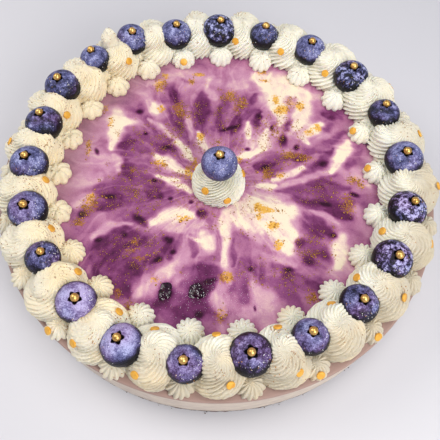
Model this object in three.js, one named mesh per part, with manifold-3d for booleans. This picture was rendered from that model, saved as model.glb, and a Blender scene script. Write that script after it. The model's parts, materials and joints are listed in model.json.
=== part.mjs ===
// A round blueberry cheesecake on a biscuit crust. A border of piped cream rosettes runs round its top,
// with small piped stars in the gaps between them and a blueberry pressed in over each gap.
// One more rosette with a blueberry on it stands near the middle. Each berry holds a sugar pearl in its
// crown, and flat sugar sequins lie on the cream.
// Millimetres, +Z up, with the origin on the surface that the cake stands on, under its middle.
import * as THREE from "three";
import { mergeVertices } from "three/addons/utils/BufferGeometryUtils.js";
import Module from "manifold-3d";

const wasm = await Module();
wasm.setup();

// Cake body
const CAKE_RADIUS = 114.5;
const CAKE_SIDES = 64;
const BODY_HEIGHT = 34;
const CRUST_HEIGHT = 5;
const RIM_ROUND = 1.2;
const GAP = 0.3;

// Ring of berries: set by eye, so their spacing drifts a little once and twice round the cake, and some
// stand a step in or out
const BERRY_COUNT = 22;
const BERRY_RING = 96.8;
const RING_STEPS = { i: -1.6, "-": 0, o: 4 };
const BERRY_STEPS = "ii---------oo-----oooi";
const BERRY_LIFT = 12;
const RING_START = 3.5;
const DRIFT_ONCE = 4.1;
const DRIFT_ONCE_LAG = 16;
const DRIFT_TWICE = 1.4;
const DRIFT_TWICE_LAG = 14;

// One berry: its three grades by diameter, in order round the ring, and its crown
const BERRY_DIAMETERS = { S: 17.1, M: 18.4, L: 19.6 };
const BERRY_GRADES = "LSMLSLLLMSLSLLSLLLLSMM";
const CENTRE_BERRY_GRADE = "M";
const BERRY_FLATNESS = 0.84;
const BERRY_SIDES = 10;
const BERRY_LATITUDES = [-45, -5, 35];
const BERRY_TILT = 9;
const CROWN_RADIUS = 3.3;
const CROWN_POINT = 0.7;
const CROWN_POINTS = 5;
const CROWN_DEPTH = 1.3;
const PEARL_RADIUS = 2;
const PEARL_SEAT = 1.2;
const PEARL_HEIGHT = 3.6;

// Piped rosettes, as wide as the gap between their neighbours and reaching as far in as out
const ROSETTE_RING = 98.8;
const ROSETTE_REACH = 14.3;
const ROSETTE_HEIGHT = 16.5;
const ROSETTE_SIDES = 12;
const ROSETTE_RISES = [0, 22, 46, 70];
const DOME_BLUNTNESS = 0.8;
const SWIRL_TURNS = 1.6;
const SWIRL_DEPTH = 0.14;

// The one rosette whose cream is drawn up to a peak beside its middle
const PEAK_ROSETTE = 19;
const PEAK_OUT = 3.5;
const PEAK_LIFT = 12;
const PEAK_PROFILE = [[4.6, 0], [3.4, 8], [0, 12.5]];
const PEAK_SIDES = 8;

// Rosette near the middle, with its berry on top
const CENTRE_X = 0.5;
const CENTRE_Y = -4;
const CENTRE_RADIUS = 14;
const CENTRE_BERRY_LIFT = 21;

// Piped stars in the gaps, inside and outside the ring. Each leans on one rosette, as a share of the gap,
// and is cut clear of the other.
const STAR_RINGS = { i: 84.8, o: 107.3 };
const STAR_LEAN = 0.05;
const STAR_RADIUS = 7;
const STAR_HEIGHT = 7.5;
const STAR_SHOULDER = [5.4, 4.2];
const STAR_SIDES = 10;
const STAR_VALLEY = 0.84;

// Sugar sequins: i lies on the inner face, o on the outer face, b on both
const SEQUIN_RADIUS = 2;
const SEQUIN_PROUD = 0.5;
const SEQUIN_SUNK = 1.6;
const SEQUIN_SIDES = 6;
const SEQUIN_RISE = 40;
const SEQUIN_SWAY = 28;
const SEQUINS_ON_ROSETTES = "iiiooobbibbbbiiioi-i--";
const SEQUINS_ON_STARS = "----ii--oo---o-o-----i";
const CENTRE_SEQUIN_ANGLES = [5, -70, -124, 169, 147];
const CENTRE_SEQUIN_RISES = [34, 16, 34, 6, 6];

const GOLDEN_SHARE = 0.618034;
const WELD = 1e-4;
const QUARTER_TURN = 0.25;
const UP = new THREE.Vector3(0, 0, 1);

const filling = new THREE.MeshStandardMaterial({ color: 0xa7689f, roughness: 0.35, metalness: 0 });
const crust = new THREE.MeshStandardMaterial({ color: 0x6b4a38, roughness: 0.9, metalness: 0 });
const cream = new THREE.MeshStandardMaterial({ color: 0xf5eed7, roughness: 0.6, metalness: 0 });
const berrySkin = new THREE.MeshStandardMaterial({ color: 0x585488, roughness: 0.55, metalness: 0 });

const radians = THREE.MathUtils.degToRad;

// An even spread of shares between -1 and 1, the same on every run.
function spread(index, stream) {
  const share = (index + 1) * GOLDEN_SHARE * stream;
  return 2 * (share - Math.floor(share)) - 1;
}

// A turned shape about +Z, from [radius, height] pairs that run from its foot to its top.
function turned(profile, sides) {
  const points = profile.map(([radius, height]) => new THREE.Vector2(radius, height));
  return new THREE.LatheGeometry(points, sides).rotateX(Math.PI / 2);
}

// Moves every vertex of a turned shape, told its share of a turn and its share of the profile.
function reshaped(geometry, change) {
  const position = geometry.getAttribute("position");
  const uv = geometry.getAttribute("uv");
  const point = new THREE.Vector3();
  for (let i = 0; i < position.count; i += 1) {
    point.fromBufferAttribute(position, i);
    change(point, uv.getX(i), uv.getY(i));
    position.setXYZ(i, point.x, point.y, point.z);
  }
  return geometry;
}

// A closed geometry as a solid, moved by a matrix, without the flat triangles at a turned shape's poles.
function solidOf(geometry, matrix = new THREE.Matrix4()) {
  const bare = geometry.clone().applyMatrix4(matrix);
  bare.deleteAttribute("normal");
  bare.deleteAttribute("uv");
  const merged = mergeVertices(bare, WELD);
  const corners = merged.index.array;
  const kept = [];
  for (let i = 0; i < corners.length; i += 3) {
    const [a, b, c] = corners.subarray(i, i + 3);
    if (a !== b && b !== c && c !== a) kept.push(a, b, c);
  }
  return new wasm.Manifold(
    new wasm.Mesh({
      numProp: 3,
      vertProperties: merged.getAttribute("position").array,
      triVerts: new Uint32Array(kept),
    }),
  );
}

function meshOf(name, solid, material) {
  const { vertProperties, triVerts } = solid.getMesh();
  const geometry = new THREE.BufferGeometry();
  geometry.setAttribute("position", new THREE.BufferAttribute(vertProperties, 3));
  geometry.setIndex(new THREE.BufferAttribute(triVerts, 1));
  geometry.computeVertexNormals();
  const mesh = new THREE.Mesh(geometry, material);
  mesh.name = name;
  return mesh;
}

// Angle of a berry clockwise from the far side, seen from above. The index may lie between two berries.
function ringAngle(index) {
  const turn = 360 * (index / BERRY_COUNT);
  const once = DRIFT_ONCE * Math.cos(radians(turn - DRIFT_ONCE_LAG));
  const twice = DRIFT_TWICE * Math.cos(radians(2 * turn - DRIFT_TWICE_LAG));
  return radians(turn + RING_START - once - twice);
}

function ringPoint(index, radius, height) {
  const angle = ringAngle(index);
  return new THREE.Vector3(radius * Math.sin(angle), radius * Math.cos(angle), height);
}

function numbered(stem, index) {
  return stem + "_" + String(index + 1).padStart(2, "0");
}

// The crust and the filling, turned about the cake's axis
function crustSolid() {
  const profile = [[0, 0], [CAKE_RADIUS, 0], [CAKE_RADIUS, CRUST_HEIGHT], [0, CRUST_HEIGHT]];
  return solidOf(turned(profile, CAKE_SIDES));
}

function fillingSolid() {
  const foot = CRUST_HEIGHT + GAP;
  const shoulder = BODY_HEIGHT - RIM_ROUND;
  const edge = CAKE_RADIUS - RIM_ROUND;
  const side = [[CAKE_RADIUS, foot], [CAKE_RADIUS, shoulder], [edge, BODY_HEIGHT]];
  return solidOf(turned([[0, foot], ...side, [0, BODY_HEIGHT]], CAKE_SIDES));
}

// A berry's skin about its middle, as [radius, height] pairs up to the rim of its crown. A margin makes
// it larger all round.
function berryProfile(diameter, margin) {
  const radius = diameter / 2 + margin;
  const half = (diameter / 2) * BERRY_FLATNESS + margin;
  const skin = BERRY_LATITUDES.map((latitude) => {
    return [radius * Math.cos(radians(latitude)), half * Math.sin(radians(latitude))];
  });
  return [[0, -half], ...skin, [CROWN_RADIUS, half]];
}

// A berry with the pearl that sits in its crown. The crown's rim runs out into five points.
function berryGeometry(diameter) {
  const skin = berryProfile(diameter, 0);
  const crownFoot = (diameter / 2) * BERRY_FLATNESS - CROWN_DEPTH;
  const pearl = [
    [PEARL_SEAT, crownFoot],
    [PEARL_RADIUS, crownFoot + PEARL_HEIGHT - PEARL_RADIUS],
    [0, crownFoot + PEARL_HEIGHT],
  ];
  const profile = [...skin, ...pearl];
  return reshaped(turned(profile, BERRY_SIDES), (point, turn, share) => {
    if (Math.round(share * (profile.length - 1)) !== skin.length - 1) return;
    const stretch = 1 + (CROWN_POINT / CROWN_RADIUS) * Math.cos(2 * Math.PI * CROWN_POINTS * turn);
    point.x *= stretch;
    point.y *= stretch;
  });
}

// A point on a blunt dome's outline, as [radius, height], at an angle from 0 at its foot to 90 at its top.
function domePoint(radius, height, rise) {
  const across = Math.cos(radians(rise)) ** DOME_BLUNTNESS;
  const up = Math.sin(radians(rise)) ** DOME_BLUNTNESS;
  return [radius * across, height * up];
}

// How far the groove that winds up a rosette draws its dome in, as a share, at a rise and a share of a turn.
function swirl(rise, turn, phase) {
  const wave = 0.5 + 0.5 * Math.cos(2 * Math.PI * (SWIRL_TURNS * (rise / 90) - turn + phase));
  return 1 - SWIRL_DEPTH * wave * Math.sin(radians(2 * rise));
}

// A piped rosette: a blunt dome with one groove that winds up it.
function rosetteGeometry(radius, phase) {
  const rises = [0, ...ROSETTE_RISES, 90];
  const dome = rises.map((rise) => domePoint(radius, ROSETTE_HEIGHT, rise));
  const profile = [[0, 0], ...dome.slice(1, -1), [0, ROSETTE_HEIGHT]];
  return reshaped(turned(profile, ROSETTE_SIDES), (point, turn, share) => {
    const rise = rises[Math.round(share * (rises.length - 1))];
    point.multiplyScalar(swirl(rise, turn, phase));
  });
}

// A piped star: a small pointed dome with straight ridges.
function starGeometry() {
  const profile = [[0, 0], [STAR_RADIUS, 0], STAR_SHOULDER, [0, STAR_HEIGHT]];
  return reshaped(turned(profile, STAR_SIDES), (point, turn) => {
    const valley = Math.round(turn * STAR_SIDES) % 2 === 1;
    const share = valley ? STAR_VALLEY : 1;
    point.x *= share;
    point.y *= share;
  });
}

// The cream drawn up to a peak
function peakSolid(outward) {
  const out = new THREE.Vector3(PEAK_OUT, 0, PEAK_LIFT).applyAxisAngle(UP, outward);
  return solidOf(turned([[0, 0], ...PEAK_PROFILE], PEAK_SIDES), matrixAt(out));
}

// A sequin pressed into a dome, on the side that the angle gives. Draw is how far the dome's surface is drawn
// in there, and lengthen is the matrix that the dome is stretched by.
function sequinSolid(radius, height, angle, rise, draw, lengthen = new THREE.Matrix4()) {
  const [across, up] = domePoint(radius, height, rise);
  const [nextAcross, nextUp] = domePoint(radius, height, rise + 1);
  const outward = new THREE.Vector3(nextUp - up, 0, across - nextAcross).normalize();
  const turn = new THREE.Quaternion().setFromAxisAngle(UP, angle);
  const lie = new THREE.Quaternion().setFromUnitVectors(UP, outward).premultiply(turn);
  const place = new THREE.Vector3(across, 0, up).multiplyScalar(draw).applyQuaternion(turn);
  place.applyMatrix4(lengthen);
  const thickness = SEQUIN_PROUD + SEQUIN_SUNK;
  const disc = new THREE.CylinderGeometry(SEQUIN_RADIUS, SEQUIN_RADIUS, thickness, SEQUIN_SIDES);
  disc.rotateX(Math.PI / 2).translate(0, 0, SEQUIN_PROUD - thickness / 2);
  return solidOf(disc, matrixAt(place, lie));
}

// A sequin on a rosette. A turned shape's first side faces -Y, a quarter turn before the angle's zero.
function rosetteSequin(radius, angle, rise, phase, lengthen) {
  const turn = angle / (2 * Math.PI) + QUARTER_TURN;
  return sequinSolid(radius, ROSETTE_HEIGHT, angle, rise, swirl(rise, turn, phase), lengthen);
}

// A stretch along one direction on the plan, as a matrix.
function stretchAlong(angle, share) {
  const turn = new THREE.Matrix4().makeRotationZ(angle);
  const back = turn.clone().invert();
  return turn.multiply(new THREE.Matrix4().makeScale(share, 1, 1)).multiply(back);
}

function matrixAt(position, rotation = new THREE.Quaternion()) {
  return new THREE.Matrix4().compose(position, rotation, new THREE.Vector3(1, 1, 1));
}

const cake = new THREE.Group();
cake.name = "cheesecake";
cake.add(meshOf("crust_base", crustSolid(), crust));
cake.add(meshOf("filling", fillingSolid(), filling));

const creamFoot = BODY_HEIGHT + GAP;

// Berries round the ring, each spun and tipped a little its own way, and the one near the middle
const berries = [];
for (let i = 0; i < BERRY_COUNT; i += 1) {
  const tip = new THREE.Euler(radians(BERRY_TILT * spread(i, 1)), radians(BERRY_TILT * spread(i, 3)), i);
  berries.push({
    name: numbered("berry", i),
    diameter: BERRY_DIAMETERS[BERRY_GRADES[i]],
    place: ringPoint(i, BERRY_RING + RING_STEPS[BERRY_STEPS[i]], BODY_HEIGHT + BERRY_LIFT),
    turn: new THREE.Quaternion().setFromEuler(tip),
  });
}
const centreBerry = {
  name: "berry_centre",
  diameter: BERRY_DIAMETERS[CENTRE_BERRY_GRADE],
  place: new THREE.Vector3(CENTRE_X, CENTRE_Y, BODY_HEIGHT + CENTRE_BERRY_LIFT),
  turn: new THREE.Quaternion(),
};
for (const berry of [...berries, centreBerry]) {
  const mesh = meshOf(berry.name, solidOf(berryGeometry(berry.diameter)), berrySkin);
  mesh.position.copy(berry.place);
  mesh.quaternion.copy(berry.turn);
  cake.add(mesh);
}

// The room that a berry needs in a piece of cream which stands at a place.
function berryRoom(berry, creamPlace) {
  const matrix = matrixAt(berry.place.clone().sub(creamPlace), berry.turn);
  const profile = berryProfile(berry.diameter, GAP);
  const top = profile.at(-1)[1];
  return solidOf(turned([...profile, [0, top]], BERRY_SIDES), matrix);
}

// Rosettes stand between the berries and are as wide as their gaps allow
const rosettes = [];
for (let i = 0; i < BERRY_COUNT; i += 1) {
  const place = ringPoint(i + 0.5, ROSETTE_RING, creamFoot);
  const before = place.distanceTo(ringPoint(i - 0.5, ROSETTE_RING, creamFoot));
  const after = place.distanceTo(ringPoint(i + 1.5, ROSETTE_RING, creamFoot));
  const radius = Math.min(before, after) / 2 - GAP / 2;
  const outward = Math.atan2(place.y, place.x);
  rosettes.push({ place, radius, outward, lengthen: stretchAlong(outward, ROSETTE_REACH / radius) });
}

// The room that a rosette needs in a star beside it, which belongs to a rosette at another place.
function rosetteRoom({ place, radius, lengthen }, otherPlace) {
  const reach = radius + GAP;
  const profile = [[0, -GAP], [reach, -GAP], [reach, ROSETTE_HEIGHT], [0, ROSETTE_HEIGHT]];
  const shift = matrixAt(place.clone().sub(otherPlace));
  return solidOf(turned(profile, ROSETTE_SIDES), shift.multiply(lengthen));
}

rosettes.forEach(({ place, radius, outward, lengthen }, i) => {
  const before = rosettes[(i + BERRY_COUNT - 1) % BERRY_COUNT];
  const phase = i * GOLDEN_SHARE;
  let solid = solidOf(rosetteGeometry(radius, phase), lengthen);
  if (i === PEAK_ROSETTE) solid = solid.add(peakSolid(outward));

  for (const side of ["i", "o"]) {
    const outer = side === "o";
    const facing = outward + (outer ? 0 : Math.PI);
    const star = ringPoint(i + STAR_LEAN, STAR_RINGS[side], creamFoot).sub(place);
    const starPlace = matrixAt(star, new THREE.Quaternion().setFromAxisAngle(UP, facing));
    solid = solid.add(solidOf(starGeometry(), starPlace).subtract(rosetteRoom(before, place)));

    if (SEQUINS_ON_STARS[i] === side) {
      const sequin = sequinSolid(STAR_RADIUS, STAR_HEIGHT, 0, SEQUIN_RISE, STAR_VALLEY);
      solid = solid.add(sequin.transform(starPlace.elements));
    }
    if (SEQUINS_ON_ROSETTES[i] === side || SEQUINS_ON_ROSETTES[i] === "b") {
      const angle = facing + radians(SEQUIN_SWAY * spread(i, outer ? 5 : 2));
      solid = solid.add(rosetteSequin(radius, angle, SEQUIN_RISE, phase, lengthen));
    }
  }

  const neighbours = [berries[i], berries[(i + 1) % BERRY_COUNT]];
  for (const berry of neighbours) {
    solid = solid.subtract(berryRoom(berry, place));
  }
  const mesh = meshOf(numbered("rosette", i), solid, cream);
  mesh.position.copy(place);
  cake.add(mesh);
});

// The rosette near the middle
const centrePlace = new THREE.Vector3(CENTRE_X, CENTRE_Y, creamFoot);
let centreSolid = solidOf(rosetteGeometry(CENTRE_RADIUS, 0));
CENTRE_SEQUIN_ANGLES.forEach((angle, i) => {
  centreSolid = centreSolid.add(rosetteSequin(CENTRE_RADIUS, radians(angle), CENTRE_SEQUIN_RISES[i], 0));
});
centreSolid = centreSolid.subtract(berryRoom(centreBerry, centrePlace));
const centreMesh = meshOf("rosette_centre", centreSolid, cream);
centreMesh.position.copy(centrePlace);
cake.add(centreMesh);

export default cake;
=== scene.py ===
import json
import math
import random
from collections import namedtuple

import bmesh
import bpy
import numpy as np
from mathutils import Matrix, Quaternion, Vector, noise
from mathutils.bvhtree import BVHTree

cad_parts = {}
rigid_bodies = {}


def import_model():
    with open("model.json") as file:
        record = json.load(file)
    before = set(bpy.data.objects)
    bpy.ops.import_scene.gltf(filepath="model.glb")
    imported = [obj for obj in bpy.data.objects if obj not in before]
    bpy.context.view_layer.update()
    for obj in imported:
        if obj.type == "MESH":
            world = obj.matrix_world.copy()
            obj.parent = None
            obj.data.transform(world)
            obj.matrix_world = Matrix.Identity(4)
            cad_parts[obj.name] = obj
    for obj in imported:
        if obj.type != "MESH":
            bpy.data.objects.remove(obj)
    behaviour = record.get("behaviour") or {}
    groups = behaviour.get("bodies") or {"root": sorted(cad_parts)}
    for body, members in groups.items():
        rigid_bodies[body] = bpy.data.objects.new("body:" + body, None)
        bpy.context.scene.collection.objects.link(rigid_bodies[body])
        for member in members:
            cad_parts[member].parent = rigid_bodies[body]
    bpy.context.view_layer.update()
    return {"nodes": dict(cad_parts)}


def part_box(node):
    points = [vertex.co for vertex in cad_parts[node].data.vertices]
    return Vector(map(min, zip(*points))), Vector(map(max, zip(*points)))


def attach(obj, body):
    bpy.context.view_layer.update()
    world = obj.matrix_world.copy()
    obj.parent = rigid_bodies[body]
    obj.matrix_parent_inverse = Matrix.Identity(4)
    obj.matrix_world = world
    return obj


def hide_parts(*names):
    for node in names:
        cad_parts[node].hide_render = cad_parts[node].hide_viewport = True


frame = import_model()

MM = 0.001
TURN = 2 * math.pi
BODY = "root"
BERRY_COUNT = 22
GOLDEN_SHARE = 0.618034

# Cake body, read from the frame
CRUST_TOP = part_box("crust_base")[1].z
FILLING_LOW, FILLING_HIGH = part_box("filling")
CAKE_RADIUS = (FILLING_HIGH.x - FILLING_LOW.x) / 2
CAKE_TOP = FILLING_HIGH.z
RIM_ROUND = 1.2 * MM
RIM_STEPS = 6
WALL_ROWS = 12
TOP_RINGS = 165
TOP_COLUMNS = 480
CRUST_ROWS = 10
CRUST_COLUMNS = 720
EDGE_TOLERANCE = 0.01 * MM

# Piped cream: rosettes, their coarse groove and the fine ridges of the piping tip
GAP = 0.3 * MM
ROSETTE_HEIGHT = 16.5 * MM
ROSETTE_REACH = 14.3 * MM
DOME_BLUNTNESS = 0.8
SWIRL_TURNS = 1.6
SWIRL_DEPTH = 0.14
FAR_RIDGES = 22
NEAR_RIDGES = 20
DOME_COLUMNS = 264
RIDGE_DEPTH = 2.2 * MM
RIDGE_CREST = 0.7 * MM
TWIST_CURVE = 0.9
FAR_TWIST = 0.36
NEAR_TWIST = 0.5
CENTRE_RIDGES = 22
CENTRE_TWIST = 0.6
CENTRE_CRISPNESS = 1.7
DOME_RINGS = 46
CENTRE_RADIUS = 14 * MM
CREAM_SINK = 0.4 * MM
RIM_COVER = 0.12
STAR_COVER = 1.2 * MM
# Directions on the plan: where the rim shows in front of the cream, and where the cream outside the ring is
# yellower and has the most painted shade
BARE_RIM = Vector((math.cos(math.radians(-72)), math.sin(math.radians(-72))))
YELLOW_AND_SHADED_SIDE = np.array((math.cos(math.radians(-48)), math.sin(math.radians(-48))))

# The rosette whose cream is drawn up to a peak
PEAK_ROSETTE = 19
PEAK_OUT = 3.5 * MM
PEAK_LIFT = 10.5 * MM
PEAK_RADIUS = 5.2 * MM
PEAK_HEIGHT = 14 * MM
PEAK_SEED = 50

# Piped stars in the gaps, inside and outside the ring
STAR_RINGS = {"i": 84.8 * MM, "o": 107.3 * MM}
STAR_LEAN = 0.05
STAR_RADIUS = 7 * MM
STAR_HEIGHT = 7.5 * MM
LEFT_STAR_RIDGES = 7
FAR_STAR_RIDGES = 10
NEAR_STAR_RIDGES = 14
STAR_COLUMNS = 120
STAR_RIDGE_DEPTH = 1.3 * MM
STAR_CREST = 0.4 * MM
STAR_RINGS_UP = 22
STAR_TWIST = 0.06
FRONT_STARS = -30 * MM
LEFT_STARS = -40 * MM

# Cream that wells up round the foot of each berry
SADDLE_RADIUS = 10.5 * MM
SADDLE_HEIGHT = 9.5 * MM
SADDLE_SEED = 60

# Berries and the pearls in their crowns
BERRY_FLATNESS = 0.84
BERRY_TILT = 9
BERRY_COLUMNS = 80
CROWN_DEPTH = 1.3 * MM
CROWN_SHARE = 0.2
CROWN_POINTS = 5
PEARL_RADIUS = 1.95 * MM
PEARL_HEIGHT = 3.6 * MM
PEARL_COLUMNS = 28
PEARL_ROWS = 18
# Bloom of each berry in order, the one near the middle last: l light, c less so, m middling, d dark, p patchy
BERRY_BLOOM = "pdmpdmppdmdmlldmmddmmmc"
BLOOM_GRADES = {"l": 0.26, "c": 0.15, "m": 0.09, "d": -0.07, "p": -0.08}
# Darkening of the lower skin, the middle berry's apart: bare of bloom, and painted shade
BARE_AND_SHADED_FOOT = 0.95
CENTRE_BARE_AND_SHADED_FOOT = 0.12
MOTTLING = {"l": -0.4, "c": -0.8, "m": 0, "d": 0.5, "p": 4}

# Sequins, by the same rule as the solids: i lies on the inner face, o on the outer face, b on both
SEQUIN_RADIUS = 2 * MM
SEQUIN_PROUD = 0.5 * MM
SEQUIN_LIFT = 0.7 * MM
SEQUIN_ROUND = 0.25 * MM
SEQUIN_COLUMNS = 28
SEQUIN_RISE = 40
SEQUIN_SWAY = 28
SEQUINS_ON_ROSETTES = "iiiooobbibbbbiiioi-i--"
SEQUINS_ON_STARS = "----ii--oo---o-o-----i"
CENTRE_SEQUIN_ANGLES = [5, -70, -124, 169, 147]
CENTRE_SEQUIN_RISES = [34, 16, 34, 6, 6]

# Marbling of the top: tones from 0, nearly black, to 1, cream
BASE_TONE = 0.52
CREAM = 1.0
PALE = 0.77
LILAC = 0.7
MAUVE = 0.5
PURPLE = 0.36
DEEP = 0.2
BLACK = 0.0
SOFT_EDGE = 0.5
SHARP_EDGE = 0.38
# Strokes of the marbling on the plan: start x and y, end x and y, bend to the left and width, in mm
STROKES = [
    (LILAC, [
        (-34, 69, -4, 66, 0, 16), (-48, 58, -40, 50, 0, 9), (-19, 46, -17, 24, 0, 5),
        (-70, 16, -60, 4, 0, 10), (6, 74, 16, 70, 0, 14), (12, 16, 26, 24, 0, 14), (3, 47, 4, 40, 0, 4),
        (55, 30, 64, 36, 0, 7), (74, 12, 78, 2, 0, 9), (-40, -31, -6, -27, 1, 9),
        (-12, -34, -18, -60, 0, 9), (-46, -30, -62, -36, 0, 5), (-8, -46, 4, -46, 0, 9),
        (-76, -4, -64, 0, 0, 9), (-72, -18, -66, -14, 0, 9), (-40, -66, -22, -52, 0, 10),
        (13, -35, 26, -46, 0, 13), (18, -62, 28, -76, 0, 13), (4, -62, 6, -78, 0, 11),
        (44, -17, 62, -27, 1, 6), (74, -16, 78, -28, 0, 10), (46, -49, 62, -53, 0, 6),
        (20, -6, 38, -9, 0, 8), (66, -44, 72, -50, 0, 9),
    ]),
    (PURPLE, [
        (-30, 61, -24, 32, 1, 12), (-24, 34, -19, 22, 0, 6), (-11, 56, -12, 28, 0, 10),
        (-52, 22, -26, 20, 0, 20), (-50, 12, -42, -2, 0, 17), (-46, 46, -36, 30, 0, 8),
        (-62, 48, -50, 44, 2, 6), (-27, 14, -18, 6, 0, 7), (-4, 34, 6, 30, 0, 7),
        (-24, 66, -18, 66, 0, 5), (2, 52, 0, 30, 0, 8), (14, 56, 19, 36, 0, 10), (9, 48, 8, 30, 0, 8),
        (62, 48, 72, 44, 0, 12), (66, 42, 52, 30, 0, 6), (70, 34, 52, 20, 0, 5), (78, 22, 70, 10, 0, 7),
        (22, 8, 36, 13, 0, 9), (36, 14, 56, 20, 0, 7), (30, 2, 62, 6, 0, 8), (-62, -8, -20, -8, 0, 16),
        (-60, -19, -24, -17, 0, 13), (-44, -26, -34, -28, 0, 8), (-56, -40, -28, -42, 0, 22),
        (-52, -54, -34, -50, 0, 18), (-58, -62, -44, -68, 0, 9), (-28, -72, 2, -74, 0, 18),
        (-14, -54, 4, -54, 0, 12), (32, -4, 70, -3, 0, 10), (42, -12, 70, -12, 0, 12),
        (44, -20, 44, -26, 0, 8), (50, -24, 52, -46, 0, 19), (12, -50, 14, -66, 0, 9),
        (16, -50, 58, -58, 0, 13), (28, -58, 42, -70, 0, 9), (-12, -36, -11, -46, 0, 5),
        (-4, -45, 2, -45, 0, 4), (2, -32, 2, -42, 0, 3),
    ]),
    (DEEP, [
        (-56, -36, -36, -38, 0, 9), (-54, -50, -38, -54, 0, 10), (-11, 57, -10, 38, 0, 9),
        (-29, 60, -25, 48, 0, 7), (-55, 20, -48, 22, 0, 7), (-34, 20, -26, 16, 0, 7),
        (-50, 8, -46, 0, 0, 8), (-24, 40, -23, 32, 0, 5), (-22, 9, -18, 5, 0, 4), (0, 48, -1, 32, 0, 4),
        (21, 58, 18, 52, 0, 5), (22, 46, 22, 36, 0, 6), (10, 42, 8, 31, 0, 6), (39, 42, 37, 30, 0, 4),
        (60, 46, 68, 44, 0, 6), (36, 14, 48, 15, 0, 4), (30, 10, 20, 7, 0, 5), (58, 14, 50, 4, 0, 6),
        (62, 22, 56, 14, 0, 4), (-59, -13, -50, -14, 0, 7), (-38, -8, -30, -12, 0, 7),
        (-62, -22, -50, -19, 0, 5), (-58, -35, -57, -56, 0, 11), (-54, -33, -44, -34, 0, 9),
        (-26, -38, -22, -46, 0, 5), (-58, -46, -42, -48, 0, 11), (-50, -40, -34, -40, 0, 6),
        (-52, -60, -40, -66, 0, 8), (-34, -50, -28, -46, 0, 5), (-26, -70, -2, -72, 0, 13),
        (-14, -60, -2, -60, 0, 12), (-10, -52, 4, -52, 0, 6), (-68, -24, -69, -25, 0, 5),
        (44, 0, 70, -3, 0, 6), (46, -12, 66, -14, 0, 7), (56, -18, 70, -20, 0, 6),
        (46, -28, 56, -30, 0, 10), (44, -38, 56, -42, 0, 11), (28, -51, 40, -52, 0, 5),
        (46, -56, 56, -60, 0, 8), (16, -50, 24, -52, 0, 4),
    ]),
    (PALE, [
        (-42, 50, -34, 40, 0, 9), (-40, 38, -22, 21, 1, 3.5), (-19, 40, -17, 30, 0, 3.5),
        (-8, 62, -4, 54, 0, 6), (-30, 70, -8, 68, 0, 6), (-58, 12, -53, 3, 0, 6),
        (-36, 66, -44, 62, 0, 4), (4, 66, 14, 64, 0, 7), (12, 14, 24, 24, 0, 10), (24, 44, 28, 31, 0, 3),
        (52, 60, 58, 56, 0, 6), (64, 9, 26, -4, 1.5, 4), (76, 4, 80, -2, 0, 6), (30, 30, 44, 28, 0, 4),
        (-80, -8, -62, -2, -1, 5), (-73, -20, -66, -14, 0, 8), (-63, -37, -44, -29, 2, 4),
        (-38, -66, -28, -58, 0, 5), (-29, -58, -19, -49, 0, 4), (-24, -33, -4, -28, 0, 5),
        (20, -60, 27, -70, 0, 8), (1, -64, 4, -74, 0, 6), (48, -17, 62, -26, 1, 3),
        (12, -74, 22, -70, 0, 7), (5, -48, 8, -58, 0, 5),
    ]),
    (CREAM, [
        (-58, 40, -58, 31, 0, 16), (-59, 34, -60, 17, 0, 8), (-39, 48, -36, 42, 0, 5),
        (-13, 29, -7, 19, 0, 6), (-25, 22, -14, 12, 0, 5), (-35, 12, -16, 2, 0, 7),
        (22, 71, 46, 60, 0, 18), (29, 64, 34, 46, 0, 13), (50, 58, 42, 34, 0, 12),
        (34, 46, 34, 36, 0, 5), (57, 38, 46, 30, 0, 8), (46, 29, 50, 25, 0, 4), (16, 37, 16, 28, 0, 5),
        (26, 32, 22, 20, 0, 6), (24, 20, 11, 13, 0, 5), (72, 26, 66, 16, 0, 8), (68, 20, 61, 8, 0, 6),
        (46, 8, 30, 1.5, 0, 5), (-33, -27, -12, -23, 2, 9), (-32, 0, -15, -8, 0, 5),
        (-4, -35, -4, -38, 0, 15), (10, -17, 38, -19, 0, 17), (32, -21, 36, -40, 0, 13),
        (8, -24, 26, -27, 0, 12), (4.5, -19, 4.5, -50, 0, 7), (65, -32, 61, -47, 0, 11),
        (22, -5, 32, -1, 0, 4),
    ]),
    (LILAC, [(10.5, -31, 9.5, -50, 0, 5), (11, -30.5, 24, -39, -1, 5), (24, -39, 40, -48, 0, 6)]),
    (MAUVE, [
        (11, -33, 18, -46, 0, 9), (18, -45, 30, -51, 0, 9), (10, -34, 9, -50, 0, 4),
        (1.2, -30, 0.8, -46, 0, 3.5), (13, -33, 30, -42, -1, 4), (-8, -46, 0, -46, 0, 4),
    ]),
    (PURPLE, [(10, -36, 9.5, -50, 0, 3), (14, -47, 22, -50, 0, 5), (28, -47, 40, -51, 0, 4)]),
]

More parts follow.
